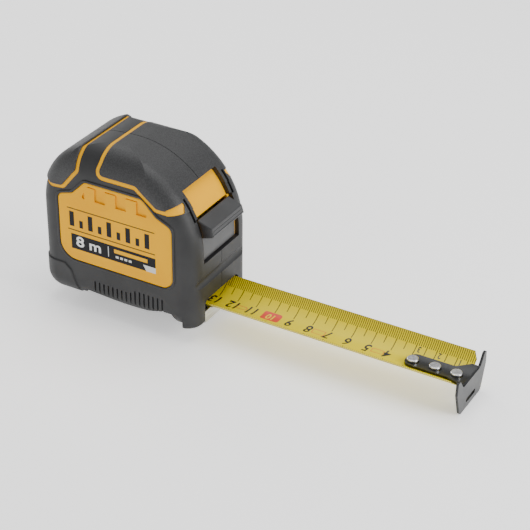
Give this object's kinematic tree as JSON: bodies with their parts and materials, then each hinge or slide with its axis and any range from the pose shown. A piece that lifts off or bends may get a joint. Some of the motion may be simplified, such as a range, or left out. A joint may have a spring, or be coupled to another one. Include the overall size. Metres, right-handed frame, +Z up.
{
  "type": "locking pocket tape measure",
  "caption": "Pocket tape measure with rubber-covered case, sprung reel, curved steel blade, floating end hook, thumb lock and belt clip.",
  "frame": {"origin": "on the plane of the feet, midway between the case sides, straight under the reel axis", "axes": "+X along the blade towards the hook, +Y towards the belt clip, +Z up; the panel side is -Y"},
  "size_m": [0.2129, 0.0601, 0.0868],
  "materials": {
    "casing": "satin moulded yellow",
    "overmould": "smooth matt black",
    "grip_pad": "fine grained dark grey",
    "foot_rubber": "matt black",
    "label_film": "printed film",
    "lock_plastic": "satin dark grey",
    "spring_steel": "oiled",
    "steel": "zinc plated",
    "guide_plastic": "matt black",
    "blade_paint": "yellow lacquer",
    "hook_black": "black oxide",
    "rivet_metal": "bright",
    "wear_metal": "satin",
    "clip_black": "black coated spring steel"
  },
  "bodies": {
    "case": {"case_left": "casing", "overmould_left": "overmould", "front_pad_left": "grip_pad", "rear_pad_left": "grip_pad", "heel_pad_left": "foot_rubber", "finger_grip_left": "foot_rubber", "label_left": "label_film", "case_right": "casing", "overmould_right": "overmould", "front_pad_right": "grip_pad", "rear_pad_right": "grip_pad", "heel_pad_right": "foot_rubber", "finger_grip_right": "foot_rubber", "label_right": "label_film", "window_plate": "casing", "centre_post": "steel", "thrust_washers": "guide_plastic", "mouth_guide": "guide_plastic", "wear_plate": "wear_metal", "case_screws": "steel", "belt_clip": "clip_black", "clip_screw": "steel"},
    "lock": {"lock_button": "lock_plastic", "brake_shoes": "foot_rubber", "lock_spring": "spring_steel"},
    "reel": {"reel_drum": "guide_plastic", "drum_cover": "guide_plastic", "blade_coil": "blade_paint", "power_spring": "spring_steel"},
    "blade": {"blade": "blade_paint", "hook_rivets": "rivet_metal"},
    "hook": {"end_hook": "hook_black"}
  },
  "joints": [
    {"name": "blade_slide", "type": "slide", "parent": "case", "child": "blade", "axis": [1, 0, 0], "range_m": [-0.1252, 0], "deforming": ["blade"]},
    {"name": "reel_spin", "type": "hinge", "parent": "case", "child": "reel", "pos_m": [0, 0, 0.039], "axis": [0, 1, 0], "range_deg": [-1, 240], "deforming": ["power_spring"]},
    {"name": "lock_swing", "type": "hinge", "parent": "case", "child": "lock", "pos_m": [-0.002, 0, 0.036], "axis": [0, -1, 0], "range_deg": [0, 11]},
    {"name": "hook_float", "type": "slide", "parent": "blade", "child": "hook", "axis": [1, 0, 0], "range_m": [-0.0012, 0]}
  ],
  "couplings": [
    {"joint": "reel_spin", "follows": "blade_slide", "rad_per_m": -33.162}
  ]
}
